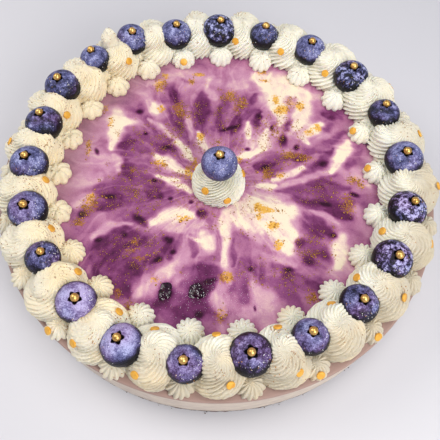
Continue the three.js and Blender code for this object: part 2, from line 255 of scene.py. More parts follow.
# Cooked berries sunk in the top, on the plan: x, y, length, breadth and turn, in mm and degrees
SUNKEN_BERRIES = [
    (-46.5, 42.5, 4.4, 3.6, 0), (-67, 14.2, 4.8, 2.4, 115), (-29.5, 18.5, 7.5, 3, 10),
    (-41.5, 27.5, 2.6, 2.2, 0), (5, 33.2, 12, 2.6, 22), (22, 42, 5, 4.6, 60), (35.3, 26.5, 8.5, 4.8, 85),
    (42.6, 22, 4.4, 3.2, 70), (29, 34.6, 4, 2.2, 80), (15.5, 19.6, 3.6, 2.6, 0), (43.5, 14, 8, 2.6, 5),
    (25, 8.6, 4.4, 3, 20), (57, 12.2, 4.6, 3.6, 60), (63.4, 43, 4.4, 3.6, 0), (72.5, -6.6, 6, 3, -25),
    (57, -13, 7.5, 2.8, -5), (43, -35.5, 5.6, 4.8, 40), (46.8, -45, 6.4, 5.6, -35), (60, -31, 3.4, 3, 0),
    (37, -50.5, 6, 2.4, -5), (-34, -2.6, 3.4, 2.6, -20), (-24.6, -13, 2.8, 2.4, 0),
    (-13.6, -15, 2.8, 2.4, 0), (-8, -21.2, 6.6, 5.4, -10), (-39.5, -26.2, 10.5, 4.2, -35),
    (-23.4, -37.2, 4.8, 4, 0), (-21, -43.6, 3.6, 2.8, 0), (-28, -48, 5, 3, 30),
    (-46.4, -34.6, 4.4, 3.2, -40), (-59, -38.4, 4.6, 2.6, 10), (-51.4, -59, 4, 3, 30),
    (-22.5, -64.5, 8.4, 10.6, 0), (-8, -64, 10.6, 10.4, 20), (-1.5, -58, 8, 3.6, 25),
    (-6.5, -75, 5, 4, 0), (18, -51, 3.4, 2.6, 0), (20, -71, 1.2, 3.2, 0), (-69.5, -24.5, 4, 4, 0),
    (-56, -13.4, 6.4, 3.4, 0),
]
LUMP_BREADTH = 6.5
LUMP_SHARE = 0.86
SUNKEN_PROUD = 0.27

# Gold on the top, on the plan: x, y, width and depth of a patch, in mm
GOLD_LEAF = [
    (-25, 46.5, 4, 6), (-22, 42, 5, 3), (-18.5, 40, 3, 2), (-36, 63, 5, 6), (-34, 69, 3, 3),
    (-18, 66, 3, 3), (-15, 71.5, 5, 2), (-34, 45, 3, 4), (-62, 35, 2, 5), (-67, 43, 3, 3),
    (-72, 16, 2.5, 7), (-10.5, 27, 3, 4), (-31, 8, 5, 4), (-15.5, 3, 4, 6), (-12.5, 8, 3, 5),
    (-46, 3.5, 2, 2), (5, 56, 7, 5), (10.5, 49, 5, 6), (13, 52, 3, 4), (32, 54, 3, 5), (40, 54, 4, 5),
    (35, 48, 6, 5), (45.5, 51, 3, 4), (25, 69, 4, 2), (24, 75, 4, 3), (55.5, 36, 3, 4),
    (49.5, 32.5, 4, 3), (27, 5, 5, 5), (33, 4, 4, 3), (39, 16.5, 8, 3), (47, 15.5, 5, 3),
    (11, 12.5, 3, 2.5), (72, 2, 4, 4), (76, -1, 3, 3), (-66, -17, 5, 8), (-67, -22, 4, 5),
    (-71, -29, 5, 3), (-42, -43.5, 4, 2), (-40, -39, 2.5, 2), (-37, -48, 3.5, 2), (-17, -24.5, 5, 2.5),
    (-28.5, -58.5, 3, 3), (-40, -72.5, 4, 5), (-46, -66, 2.5, 4), (21, -16, 3, 3), (26, -18, 8, 2.5),
    (22, -22, 3, 3), (29, -27, 5, 4), (32, -37, 3, 5), (68.5, -13, 5, 8), (6, -55.5, 4.5, 4),
    (4.5, -74.5, 4, 5), (48, -65, 4, 5), (49.5, -41.5, 4, 3),
]
GOLD_DUST = [
    (52, -35, 14, 12), (44, -42, 8, 6), (30, -53, 24, 12), (-45, -15, 28, 12), (-40, 24, 24, 12),
    (-42, -2, 20, 12), (-13, 44, 10, 12), (-24, 34, 9, 18), (53, -5, 16, 12), (-38, -45, 24, 16),
    (0, 44, 8, 20), (40, 14, 16, 6), (30, 30, 24, 24), (-5, 0, 40, 40),
]
# Flakes on a square mm of gold leaf, how many fewer lie there on cream, and clusters on a square mm of dust
LEAF_DENSITY = 3.4
PALE_LEAF_LOSS = 2.4
DUST_DENSITY = 0.2
LARGEST_DUST_CLUSTER = 14
DUST_REACH = 84 * MM
FLAKE_FLOOR = CAKE_TOP - 0.2 * MM
FLAKES_PER_BERRY = 9
GOLD_SIDE = math.radians(-100)

# Sugar sparkles on the top, white flakes that are partly painted highlights: middle and half size of their
# patch on the plan
SPARKLE_PLACE = Vector((0, -64)) * MM
SPARKLE_REACH = Vector((38, 14)) * MM
TOP_GLINTS = 600
# White glints on each berry, partly painted highlights, gathered on the side that the angle gives
GLINTS_PER_BERRY = 40
HIGHLIGHT_SIDE = math.radians(-30)

# Spice flecks, thickest on the cream at the left, and crumbs round the foot
FLECK_CLUSTERS = 420
FLECKED_SIDE = math.radians(170)
TOP_FLECKS = 900
TOP_FLECK_REACH = 80 * MM
TOP_FLECK_FLOOR = CAKE_TOP - 0.15 * MM
CRUMB_COUNT = 40
DROP_HEIGHT = 0.2

# Camera, from the photograph: its lens in pixels of the frame, its tilt, roll, aim point and distance
FRAME_PIXELS = 440
LENS_PIXELS = 520
SENSOR_WIDTH = 36
CAMERA_PITCH = 63.52
CAMERA_ROLL = 2.21
CAMERA_AIM = Vector((1.82, -30.81, 46)) * MM
CAMERA_DISTANCE = 253.7 * MM
CLOSEST_SEEN = 10 * MM

# Lights, all aimed at one point: place, size, power and colour
LIGHT_AIM = Vector((0, 0, 0.03))
LIGHTS = {
    "key": ((0.12, 0.0, 0.55), 0.3, 0.9, (1, 0.98, 0.95)),
    "fill": ((-0.5, 0.15, 0.6), 0.45, 2.35, (1, 0.96, 0.9)),
    "front": ((0.3, -0.45, 0.45), 0.35, 2.6, (1, 0.98, 0.94)),
}
SKY_COLOUR = (0.88, 0.93, 1.0, 1)
SKY_STRENGTH = 0.40
FLOOR_REACH = 4

# Sockets of a colour mix, which shares its names with the other kinds of mix
MIX_COLOURS = (6, 7)
MIX_RESULT = 2

random.seed(22)


# Small helpers for shapes
def spread(index, stream):
    """An even spread of shares between -1 and 1, the same on every run."""
    share = (index + 1) * GOLDEN_SHARE * stream
    return 2 * (share - math.floor(share)) - 1


def ripples(points, size, seed):
    """Smooth noise from -1 to 1 at each point, with features of about a size."""
    shift = Vector((7.3, 3.1, 5.7)) * seed
    return np.array([noise.noise(Vector(point) / size + shift) for point in points])


def smooth_step(low, high, value):
    """From 0 below a low value to 1 above a high one, with soft ends."""
    share = np.clip((value - low) / (high - low), 0, 1)
    return share * share * (3 - 2 * share)


def turned(profile, steps):
    """A closed bmesh turned about +Z from [radius, height] pairs that run from its foot to its top."""
    shape = bmesh.new()
    corners = [shape.verts.new((radius, 0, height)) for radius, height in profile]
    edges = [shape.edges.new(pair) for pair in zip(corners, corners[1:])]
    bmesh.ops.spin(
        shape, geom=corners + edges, cent=(0, 0, 0), axis=(0, 0, 1), angle=TURN, steps=steps, use_merge=True
    )
    bmesh.ops.remove_doubles(shape, verts=shape.verts, dist=1e-7)
    bmesh.ops.recalc_face_normals(shape, faces=shape.faces)
    return shape


def points_of(shape):
    return np.array([corner.co for corner in shape.verts])


def moved(shape, points):
    """A copy of a bmesh with its corners at other points."""
    copy = shape.copy()
    for corner, point in zip(copy.verts, points):
        corner.co = point
    return copy


def joined(shapes):
    """One bmesh from several, which are used up."""
    whole = bmesh.new()
    for shape in shapes:
        mesh = bpy.data.meshes.new("part")
        shape.to_mesh(mesh)
        shape.free()
        whole.from_mesh(mesh)
        bpy.data.meshes.remove(mesh)
    return whole


def finished(name, mesh, finish, slot, *nodes):
    """A piece of the cake from its mesh, in place of the solids that it stands for."""
    mesh.name = name
    mesh.materials.append(finish)
    mesh.shade_smooth()
    piece = bpy.data.objects.new(name, mesh)
    bpy.context.scene.collection.objects.link(piece)
    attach(piece, BODY)
    if nodes:
        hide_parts(*nodes)


def mesh_of(shape):
    """A mesh from a bmesh, which is used up."""
    mesh = bpy.data.meshes.new("part")
    shape.to_mesh(mesh)
    shape.free()
    return mesh


def paint(mesh, name, values):
    """Gives every corner of a mesh a value that a material can read."""
    values = np.asarray(values, dtype=np.float32)
    kind, field = ("FLOAT", "value") if values.ndim == 1 else ("FLOAT_VECTOR", "vector")
    layer = mesh.attributes.new(name, kind, "POINT")
    layer.data.foreach_set(field, values.ravel())


def scattered(shape, matrices):
    """One mesh of many copies of a small bmesh, one for each matrix."""
    shape.verts.index_update()
    points = points_of(shape)
    corners = [[corner.index for corner in face.verts] for face in shape.faces]
    shape.free()
    places = []
    faces = []
    for index, matrix in enumerate(matrices):
        turn = np.array(matrix.to_3x3())
        places.extend(points @ turn.T + np.array(matrix.translation))
        start = index * len(points)
        faces.extend([[start + corner for corner in face] for face in corners])
    mesh = bpy.data.meshes.new("part")
    mesh.from_pydata(places, [], faces)
    return mesh


# Materials
class Finish:
    """A procedural material on Object coordinates, with constants set on its surface's own sockets."""

    def __init__(self, name, **constants):
        self.material = bpy.data.materials.new(name)
        self.material.use_nodes = True
        self.nodes = self.material.node_tree.nodes
        self.links = self.material.node_tree.links
        self.surface = self.nodes["Principled BSDF"]
        for socket, value in constants.items():
            self.surface.inputs[socket.replace("_", " ")].default_value = value
        self.place = self.nodes.new("ShaderNodeTexCoord").outputs["Object"]

    def noise(self, size, detail=3.0, roughness=0.55, distortion=0.0):
        """Cloudy noise from 0 to 1 with features of about a size in metres."""
        return self.noise_on(self.place, size, detail, roughness, distortion)

    def noise_on(self, place, size, detail=3.0, roughness=0.55, distortion=0.0):
        """Cloudy noise from 0 to 1 on other coordinates, in their own units."""
        node = self.nodes.new("ShaderNodeTexNoise")
        node.inputs["Scale"].default_value = 1 / size
        node.inputs["Detail"].default_value = detail
        node.inputs["Roughness"].default_value = roughness
        node.inputs["Distortion"].default_value = distortion
        self.links.new(place, node.inputs["Vector"])
        return node.outputs["Fac"]

    def attribute(self, name, output="Fac"):
        """A value that was painted on the corners, or with Vector as the output, three of them."""
        node = self.nodes.new("ShaderNodeAttribute")
        node.attribute_name = name
        return node.outputs[output]

    def math(self, operation, *values):
        node = self.nodes.new("ShaderNodeMath")
        node.operation = operation
        for socket, value in zip(node.inputs, values):
            if isinstance(value, (int, float)):
                socket.default_value = value
            else:
                self.links.new(value, socket)
        return node.outputs["Value"]

    def ramp(self, value, stops):
        """Colours along a value, from [position, colour] pairs."""
        node = self.nodes.new("ShaderNodeValToRGB")
        elements = node.color_ramp.elements
        while len(elements) < len(stops):
            elements.new(0.5)
        for element, (position, colour) in zip(elements, stops):
            element.position = position
            element.color = (*colour, 1)
        self.links.new(value, node.inputs["Fac"])
        return node.outputs["Color"]

    def mix(self, share, first, second):
        """Blend of two colours, each a socket or a constant."""
        node = self.nodes.new("ShaderNodeMix")
        node.data_type = "RGBA"
        self.links.new(share, node.inputs["Factor"])
        for index, colour in zip(MIX_COLOURS, (first, second)):
            if isinstance(colour, tuple):
                node.inputs[index].default_value = (*colour, 1)
            else:
                self.links.new(colour, node.inputs[index])
        return node.outputs[MIX_RESULT]

    def colour(self, value):
        self.links.new(value, self.surface.inputs["Base Color"])

    def roughness(self, value):
        self.links.new(value, self.surface.inputs["Roughness"])

    def bump(self, height, depth):
        node = self.nodes.new("ShaderNodeBump")
        node.inputs["Distance"].default_value = depth
        self.links.new(height, node.inputs["Height"])
        self.links.new(node.outputs["Normal"], self.surface.inputs["Normal"])


def cream_finish():
    finish = Finish(
        "whipped_cream", Subsurface_Weight=0.3, Subsurface_Scale=0.0012, Subsurface_Radius=(1, 0.85, 0.6),
        Specular_IOR_Level=0.25,
    )
    clouds = finish.noise(14 * MM, 2)
    # Cream outside the ring: darker and yellower, partly painted shade. Inside it: bright white, partly
    # painted light.
    outer = finish.ramp(clouds, [(0.3, (0.68, 0.61, 0.49)), (0.7, (0.68, 0.595, 0.45))])
    inner = finish.ramp(clouds, [(0.3, (0.97, 0.945, 0.84)), (0.7, (0.97, 0.925, 0.78))])
    plain = finish.mix(finish.attribute("whiteness"), outer, inner)
    # Sugar dust with warm painted light on the left, and painted shade in front, turn the cream warmer.
    finish.colour(finish.mix(finish.attribute("dusting"), plain, (0.98, 0.81, 0.55)))
    finish.roughness(finish.math("MULTIPLY_ADD", finish.noise(1.5 * MM), 0.3, 0.42))
    finish.bump(finish.noise(1 * MM, 5, 0.65), 0.8 * MM)
    return finish.material


def filling_finish():
    finish = Finish("marbled_filling", Specular_IOR_Level=0.12)
    clouds = finish.noise(6 * MM, 3, 0.5, 0.8)
    grain = finish.noise(0.7 * MM, 3)
    lanes = finish.attribute("rays", "Vector")
    rays = finish.noise_on(lanes, 1, 2, 0.5)
    tone = finish.math("MULTIPLY_ADD", clouds, 0.36, finish.attribute("marbling"))
    tone = finish.math("MULTIPLY_ADD", rays, 0.36, tone)
    tone = finish.math("MULTIPLY_ADD", grain, 0.2, tone)
    tone = finish.math("SUBTRACT", tone, 0.485)
    flow = finish.noise_on(lanes, 1.6, 1, 0.5)
    offset = finish.math("SUBTRACT", flow, 0.5)
    offset = finish.math("MULTIPLY", offset, offset)
    vein = finish.math("MAXIMUM", finish.math("MULTIPLY_ADD", offset, -40, 0.09), 0)
    tone = finish.math("ADD", tone, vein)
    top = finish.ramp(tone, [
        (0.0, (0.032, 0.004, 0.02)), (0.2, (0.135, 0.022, 0.095)), (0.36, (0.25, 0.066, 0.185)),
        (0.52, (0.405, 0.152, 0.28)), (0.7, (0.55, 0.27, 0.40)), (0.84, (0.68, 0.43, 0.46)),
        (0.93, (0.80, 0.62, 0.54)), (1.0, (0.87, 0.74, 0.57)),
    ])
    stain = finish.math("MULTIPLY_ADD", finish.noise(1.2 * MM, 4, 0.65), 7, -7.1)
    stain = finish.math("MULTIPLY_ADD", finish.noise(6 * MM, 2), 4.4, stain)
    stain = finish.math("MULTIPLY_ADD", finish.attribute("gilding"), 2.5, stain)
    stain = finish.math("MAXIMUM", finish.math("MINIMUM", stain, 0.9), 0)
    gold = finish.ramp(tone, [(0.4, (0.30, 0.10, 0.03)), (0.8, (0.77, 0.40, 0.03))])
    gilded = finish.mix(stain, top, gold)
    side = finish.ramp(finish.noise(6 * MM, 4), [(0.3, (0.58, 0.48, 0.42)), (0.7, (0.72, 0.62, 0.52))])
    rim = finish.mix(finish.attribute("browned"), gilded, (0.39, 0.265, 0.225))
    finish.colour(finish.mix(finish.attribute("side"), rim, side))
    finish.roughness(finish.math("MULTIPLY_ADD", grain, 0.35, 0.35))
    finish.bump(finish.noise(0.8 * MM, 4), 0.15 * MM)
    return finish.material


def crust_finish():
    finish = Finish("biscuit_crust", Specular_IOR_Level=0.2)
    crumbs = finish.noise(1.6 * MM, 4, 0.7)
    browns = [(0.3, (0.05, 0.025, 0.022)), (0.55, (0.12, 0.06, 0.04)), (0.75, (0.25, 0.14, 0.08))]
    finish.colour(finish.ramp(crumbs, browns))
    finish.roughness(finish.math("MULTIPLY_ADD", crumbs, 0.3, 0.7))
    finish.bump(crumbs, 0.5 * MM)
    return finish.material


def berry_finish():
    finish = Finish("blueberry_skin", Specular_IOR_Level=0.25)
    patches = finish.noise(2.6 * MM, 5, 0.7)
    freckles = finish.noise(0.6 * MM, 3)
    # The painted skin value holds bloom and, on the lower skin, painted shade.
    bloom = finish.math("MULTIPLY_ADD", patches, 1.5, finish.attribute("bloom"))
    bloom = finish.math("MULTIPLY_ADD", freckles, 0.9, bloom)
    bloom = finish.math("SUBTRACT", bloom, 1.27)
    swing = finish.math("SUBTRACT", patches, 0.5)
    bloom = finish.math("MULTIPLY_ADD", swing, finish.attribute("mottling"), bloom)
    blue = finish.ramp(bloom, [
        (0.0, (0.004, 0.004, 0.008)), (0.28, (0.014, 0.014, 0.035)), (0.5, (0.05, 0.052, 0.145)),
        (0.74, (0.155, 0.16, 0.36)), (1.0, (0.44, 0.46, 0.75)),
    ])
    violet = finish.ramp(bloom, [
        (0.0, (0.005, 0.003, 0.008)), (0.28, (0.024, 0.010, 0.032)), (0.5, (0.088, 0.044, 0.14)),
        (0.74, (0.23, 0.16, 0.37)), (1.0, (0.53, 0.45, 0.75)),
    ])
    finish.colour(finish.mix(finish.attribute("violet"), blue, violet))
    finish.roughness(finish.math("MULTIPLY_ADD", patches, 0.4, 0.25))
    finish.bump(finish.noise(0.9 * MM, 4), 0.3 * MM)
    return finish.material


def sunken_finish():
    finish = Finish("cooked_berry", Specular_IOR_Level=0.4)
    wrinkles = finish.noise(1.2 * MM, 4, 0.7)
    finish.colour(finish.ramp(wrinkles, [(0.4, (0.004, 0.0007, 0.0035)), (0.75, (0.06, 0.008, 0.04))]))
    finish.roughness(finish.math("MULTIPLY_ADD", wrinkles, 0.25, 0.05))
    finish.bump(finish.noise(3 * MM, 1), 0.5 * MM)
    return finish.material


def lustre_finish(name, dark, light, size, metallic, roughness):
    """Sugar or gold that shines unevenly, between a dark and a light colour."""
    finish = Finish(name, Metallic=metallic)
    lustre = finish.noise(size, 3)
    finish.colour(finish.ramp(lustre, [(0.35, dark), (0.65, light)]))
    finish.roughness(finish.math("MULTIPLY_ADD", lustre, 0.2, roughness))
    finish.bump(finish.noise(size / 2, 3), 0.06 * MM)
    return finish.material


def pearl_finish():
    return lustre_finish("pearl_gold", (0.66, 0.36, 0.09), (0.88, 0.56, 0.2), 3 * MM, 0.85, 0.2)


def sequin_finish():
    return lustre_finish("sequin_gold", (0.78, 0.36, 0.035), (0.92, 0.5, 0.07), 2 * MM, 0.15, 0.35)


def leaf_finish():
    return lustre_finish("leaf_gold", (0.2, 0.065, 0.012), (0.86, 0.43, 0.075), 0.5 * MM, 0.2, 0.3)


# White sugar crystals, partly painted highlights
def sugar_and_highlight_finish():
    return lustre_finish("sugar_crystal", (0.8, 0.78, 0.85), (1.0, 1.0, 1.0), 1 * MM, 0, 0.2)


def fleck_finish():
    finish = Finish("spice_fleck", Specular_IOR_Level=0.2)
    shade = finish.noise(2 * MM, 2)
    finish.colour(finish.ramp(shade, [(0.35, (0.3, 0.12, 0.05)), (0.65, (0.58, 0.31, 0.13))]))
    finish.roughness(finish.math("MULTIPLY_ADD", shade, 0.3, 0.6))
    finish.bump(finish.noise(0.4 * MM, 2), 0.05 * MM)
    return finish.material


# Places of the rosettes and berries, read from the solids
def highest_corner(node):
    return max((corner.co for corner in frame["nodes"][node].data.vertices), key=lambda co: co.z).copy()


def berry_place(node):
    """Middle, radius and half height of a berry's skin."""
    low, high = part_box(node)
    radius = max(high.x - low.x, high.y - low.y) / 2
    half = radius * BERRY_FLATNESS
    return Vector(((low.x + high.x) / 2, (low.y + high.y) / 2, low.z + half)), radius, half


BERRY_NAMES = ["berry_%02d" % (i + 1) for i in range(BERRY_COUNT)] + ["berry_centre"]
ROSETTE_NAMES = ["rosette_%02d" % (i + 1) for i in range(BERRY_COUNT)]
BERRIES = [berry_place(name) for name in BERRY_NAMES]
CREAM_FOOT = CAKE_TOP + GAP
CENTRE_AXIS = Vector((*BERRIES[-1][0].xy, CREAM_FOOT))
Rosette = namedtuple("Rosette", "axis radius reach outward phase ridges twist crispness seed")


def rosette_axis(index):
    """Foot of the line that a rosette stands about. The drawn-up peak stands outside its rosette's line."""
    axis = highest_corner(ROSETTE_NAMES[index])
    axis.z = CREAM_FOOT
    if index == PEAK_ROSETTE:
        reach = axis.xy.length
        axis.xy *= (reach - PEAK_OUT) / reach
    return axis


AXES = [rosette_axis(i) for i in range(BERRY_COUNT)]


def leftness(place):
    """From 0 to 1 on the left of the cake, where the cream is soft."""
    return float(smooth_step(0.1, 0.7, -place.x / max(place.xy.length, MM)))


def rim_cover(place):
    """From 0 where the rim shows in front of the cream to 1 where the cream covers it."""
    return float(1 - smooth_step(0.74, 0.94, place.xy.normalized() @ BARE_RIM))


def ring_rosette(index):
    axis = AXES[index]
    before = (axis - AXES[index - 1]).length
    after = (axis - AXES[(index + 1) % BERRY_COUNT]).length
    radius = min(before, after) / 2 - GAP / 2
    nearness = 0.5 - 0.5 * axis.y / axis.xy.length
    twist = FAR_TWIST + (NEAR_TWIST - FAR_TWIST) * nearness
    ridges = round(FAR_RIDGES + (NEAR_RIDGES - FAR_RIDGES) * nearness)
    crispness = max(1 - 0.3 * nearness - 0.3 * leftness(axis), 0.4)
    outward = math.atan2(axis.y, axis.x)
    phase = index * GOLDEN_SHARE
    return Rosette(axis, radius, ROSETTE_REACH, outward, phase, ridges, twist, crispness, index)


ROSETTES = [ring_rosette(i) for i in range(BERRY_COUNT)]
CENTRE = Rosette(
    axis=CENTRE_AXIS, radius=CENTRE_RADIUS, reach=CENTRE_RADIUS, outward=0, phase=0, ridges=CENTRE_RIDGES,
    twist=CENTRE_TWIST, crispness=CENTRE_CRISPNESS, seed=BERRY_COUNT,
)


def star_place(index, side):
    berry = BERRIES[index][0]
    angle = math.atan2(berry.x, berry.y) + TURN * STAR_LEAN / BERRY_COUNT
    reach = STAR_RINGS[side] + (STAR_COVER * rim_cover(berry) if side == "o" else 0)
    return Vector((reach * math.sin(angle), reach * math.cos(angle), CREAM_FOOT))


def star_ridges(place):
    """Stars have few broad ridges on the left, and the most in front."""
    if place.y < FRONT_STARS:
        return NEAR_STAR_RIDGES
    return LEFT_STAR_RIDGES if place.x < LEFT_STARS else FAR_STAR_RIDGES


def stretched(points, rosette):
    """Points about a rosette's line, drawn out toward the cake's middle and its rim."""
    along = np.array((math.cos(rosette.outward), math.sin(rosette.outward), 0))
    reach = points @ along
    cover = rim_cover(rosette.axis) if rosette.seed < BERRY_COUNT else 0
    share = rosette.reach / rosette.radius - 1 + RIM_COVER * cover * (reach > 0)
    return points + (share * reach)[:, None] * along


# Cream
def dome_profile(rings, bluntness):
    rises = [math.radians(90 * i / rings) for i in range(rings + 1)]
    side = [(math.cos(rise) ** bluntness, math.sin(rise) ** bluntness) for rise in rises[:-1]]
    return [(0, 0), *side, (0, 1)]


def swirl(rise, turn, phase):
    """How far the groove that winds up a rosette draws its dome in, as a share."""
    wave = 0.5 + 0.5 * np.cos(TURN * (SWIRL_TURNS * rise / 90 - turn + phase))
    return 1 - SWIRL_DEPTH * wave * np.sin(np.radians(2 * rise))


def dome_angles(points, bluntness):
    """Rise in degrees and angle about the axis of each point on a unit dome."""
    rise = np.degrees(np.arcsin(np.clip(points[:, 2], 0, 1) ** (1 / bluntness)))
    return rise, np.arctan2(points[:, 1], points[:, 0])


def ridge_height(angle, count):
    """From 0 in a sharp valley to 1 on a round ridge, or 1 all over for no ridges."""
    return np.abs(np.sin(angle * count / 2)) if count else np.ones(len(angle))


def rosette_points(unit, rosette):
    """A piped rosette's surface: ridges that wind up a blunt dome, with a groove between its turns."""
    rise, column = dome_angles(unit, DOME_BLUNTNESS)
    slope = np.radians(rise)
    angle = column + TURN * rosette.twist * (rise / 90) ** TWIST_CURVE
    across = np.hypot(unit[:, 0], unit[:, 1]) * rosette.radius
    drawn = swirl(rise, angle / TURN + 0.25, rosette.phase)
    firm = 0.8 + 0.55 * ripples(np.c_[np.cos(angle), np.sin(angle), rise / 50], 0.6, rosette.seed)
    foot = rosette.crispness + max(1.45 - rosette.crispness, 0) * (1 - smooth_step(0, 25, rise))
    fade = np.clip(across / rosette.radius, 0, 1) ** 0.7 * np.clip(firm, 0.25, 1.15) * foot
    wander = ripples(np.c_[np.cos(angle), np.sin(angle), rise / 45], 0.5, rosette.seed + 0.3)
    wavy = column + 1.6 / rosette.ridges * wander
    depth = RIDGE_DEPTH * fade * (1 - ridge_height(wavy, rosette.ridges)) - RIDGE_CREST
    tuck = 1 - 0.05 * (1 - smooth_step(0, 10, rise))
    across = np.maximum(across * drawn * tuck - depth * np.cos(slope), 0)
    height = unit[:, 2] * ROSETTE_HEIGHT * drawn - depth * np.sin(slope)
    across *= unit[:, 2] + np.hypot(unit[:, 0], unit[:, 1]) > 1e-6
    points = np.c_[across * np.cos(angle), across * np.sin(angle), np.maximum(height, 0)]
    wobble = ripples(points, 6 * MM, rosette.seed + 0.5) + 0.6 * ripples(points, 1.6 * MM, rosette.seed + 0.7)
    grains = 0.22 * MM * ripples(points, 1 * MM, rosette.seed + 0.9)
    points[:, :2] *= (1 + 0.035 * wobble)[:, None]
    points[:, 2] += (0.5 * MM * wobble + grains) * smooth_step(5, 40, rise)
    return stretched(points, rosette)


def star_points(unit, radius, height, facing, ridges, seed):
    """A piped star's surface: straight ridges that meet at a low peak."""
    rise, column = dome_angles(unit, 1)
    slope = np.radians(rise)
    angle = column + facing + TURN * STAR_TWIST * (rise / 90)
    across = np.hypot(unit[:, 0], unit[:, 1])
    depth = STAR_RIDGE_DEPTH * across ** 0.7 * (1 - ridge_height(column, ridges)) - STAR_CREST * across
    tuck = 1 - 0.07 * (1 - smooth_step(0, 16, rise))
    across = np.maximum(across * radius * tuck - depth * np.cos(slope), 0)
    up = np.maximum(unit[:, 2] * height - depth * np.sin(slope), 0)
    points = np.c_[across * np.cos(angle), across * np.sin(angle), up]
    wobble = ripples(points, 4 * MM, seed) + 0.5 * ripples(points, 1.6 * MM, seed + 0.4)
    points[:, :2] *= (1 + 0.06 * wobble)[:, None]
    return points


def slumped(points, place):
    """The stars on the cake's left are flatter, with a dimple where the piping tip was lifted off."""
    share = float(smooth_step(35 * MM, 75 * MM, -place.x))
    across = np.hypot(points[:, 0], points[:, 1])
    points[:, 2] *= 1 - 0.2 * share
    points[:, 2] -= 1.1 * MM * share * (1 - smooth_step(0.6 * MM, 2.4 * MM, across)) * (points[:, 2] > 2 * MM)
    return points


def roughened(points, size, depth):
    """Cream that was drawn up and broke off: lumps of a size and depth all over."""
    lumps = [ripples(points, size, seed) for seed in (31, 32, 33)]
    return points + depth * np.c_[lumps[0], lumps[1], lumps[2]] * smooth_step(0, 3 * MM, points[:, 2:])


def pressed(points, berries):
    """Points that lie inside a berry, pushed out to just clear of its skin."""
    clear = 0.12 * MM
    for middle, radius, half in berries:
        away = points - np.array(middle)
        size = np.array((radius + clear, radius + clear, half + clear))
        share = np.linalg.norm(away / size, axis=1)
        inside = share < 1
        points[inside] = np.array(middle) + away[inside] / np.maximum(share[inside], 0.25)[:, None]
    return points


def dusting(points):
    """Warm sugar dust and painted light on the cream, from 0 to 1: dust with warm painted light, thickest
    inside the ring on the left, and patchy warm painted shade in front.
    """
    radius = np.hypot(points[:, 0], points[:, 1])
    left = smooth_step(0.2, 0.8, -points[:, 0] / radius)
    front = smooth_step(0.3, 0.9, -points[:, 1] / radius)
    inner = 1 - smooth_step(90 * MM, 106 * MM, radius)
    # The patches in front are painted shade.
    patches = smooth_step(-0.1, 0.6, ripples(points, 11 * MM, 3))
    ring = smooth_step(40 * MM, 70 * MM, radius)
    return ring * np.clip(left * (0.22 + 0.6 * inner) + 0.6 * front * patches, 0, 1)


def whiteness(points):
    """From 1 on white cream inside the ring, made brighter as painted light, to 0 on the cream outside it,
    which has painted shade, most where it is yellower at the front right.
    """
    radius = np.hypot(points[:, 0], points[:, 1])
    yellow_and_shade = smooth_step(0.1, 0.8, points[:, :2] @ YELLOW_AND_SHADED_SIDE / np.maximum(radius, MM))
    return 1 - smooth_step(90 * MM, 106 * MM, radius) * (0.3 + 0.7 * yellow_and_shade)


def finish_cream(name, shape, finish, node):
    points = points_of(shape)
    mesh = mesh_of(shape)
    paint(mesh, "dusting", dusting(points))
    paint(mesh, "whiteness", whiteness(points))
    finished("piped_" + name, mesh, finish, "cream", node)


def gap_star(unit, index, side):
    """Surface of the star in the gap before a rosette, inside or outside the ring."""
    place = star_place(index, side)
    facing = math.atan2(place.y, place.x)
    seed = 2 * index + (side == "o")
    points = star_points(unit, STAR_RADIUS, STAR_HEIGHT, facing, star_ridges(place), seed)
    return slumped(points, place) + np.array(place)


def saddle(unit, index):
    """Surface of the cream that wells up round the foot of a berry."""
    foot = Vector((*BERRIES[index][0].xy, CREAM_FOOT))
    seed = SADDLE_SEED + index
    return star_points(unit, SADDLE_RADIUS, SADDLE_HEIGHT, 0, NEAR_STAR_RIDGES, seed) + np.array(foot)


def peak(unit, rosette):
    """Surface of the cream that is drawn up beside a rosette's middle."""
    points = star_points(unit, PEAK_RADIUS, PEAK_HEIGHT, 0, 0, PEAK_SEED)
    points = roughened(roughened(points, 3.2 * MM, 1.1 * MM), 1.2 * MM, 0.4 * MM)
    out = Vector((math.cos(rosette.outward), math.sin(rosette.outward), 0)) * PEAK_OUT
    return points + np.array(rosette.axis + out + Vector((0, 0, PEAK_LIFT)))


def make_rosettes(finish):
    dome = turned(dome_profile(DOME_RINGS, DOME_BLUNTNESS), DOME_COLUMNS)
    star = turned(dome_profile(STAR_RINGS_UP, 1), STAR_COLUMNS)
    dome_unit = points_of(dome)
    star_unit = points_of(star)
    sink = np.array((0, 0, CREAM_SINK))
    for i, rosette in enumerate(ROSETTES):
        berries = [BERRIES[i], BERRIES[(i + 1) % BERRY_COUNT]]
        points = rosette_points(dome_unit, rosette) + np.array(rosette.axis)
        shapes = [moved(dome, pressed(points, berries) - sink)]
        for points in (gap_star(star_unit, i, "i"), gap_star(star_unit, i, "o"), saddle(star_unit, i)):
            shapes.append(moved(star, pressed(points, berries) - sink))
        if i == PEAK_ROSETTE:
            shapes.append(moved(star, pressed(peak(star_unit, rosette), berries)))
        finish_cream(ROSETTE_NAMES[i], joined(shapes), finish, ROSETTE_NAMES[i])
    points = rosette_points(dome_unit, CENTRE) + np.array(CENTRE.axis)
    centre = moved(dome, pressed(points, [BERRIES[-1]]) - sink)
    finish_cream("rosette_centre", centre, finish, "rosette_centre")
    dome.free()
    star.free()


